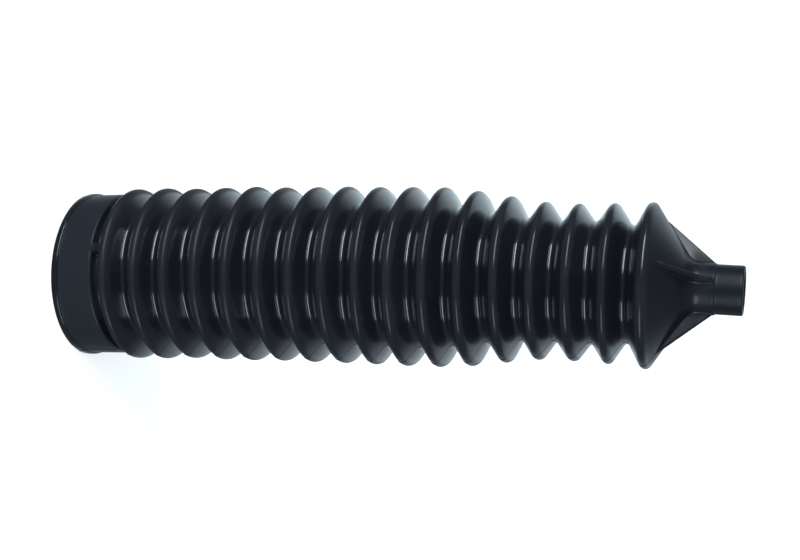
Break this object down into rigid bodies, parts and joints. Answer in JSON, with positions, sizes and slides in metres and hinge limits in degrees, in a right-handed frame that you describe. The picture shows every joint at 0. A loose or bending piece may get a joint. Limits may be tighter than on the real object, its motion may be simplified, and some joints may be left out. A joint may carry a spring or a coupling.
{
  "type": "rubber bellows boot",
  "caption": "Black rubber bellows boot: a wide cuff with a clamp seat, folds that step down in size, a ribbed cone and a narrow nozzle with a second clamp seat.",
  "frame": {"origin": "centre of the large mouth, in the plane of its end face, which is also the bottom centre of the part", "axes": "+Z along the boot's axis from the large mouth to the nozzle; ribs of the cone lie on X and Y, and the two keys of the cuff's groove on Y"},
  "size_m": [0.059, 0.059, 0.2248],
  "materials": {
    "rubber": "moulded black rubber, satin on the cuff and cone and glossier on the folds"
  },
  "bodies": {
    "root": {"bellows_boot": "rubber"}
  },
  "joints": []
}
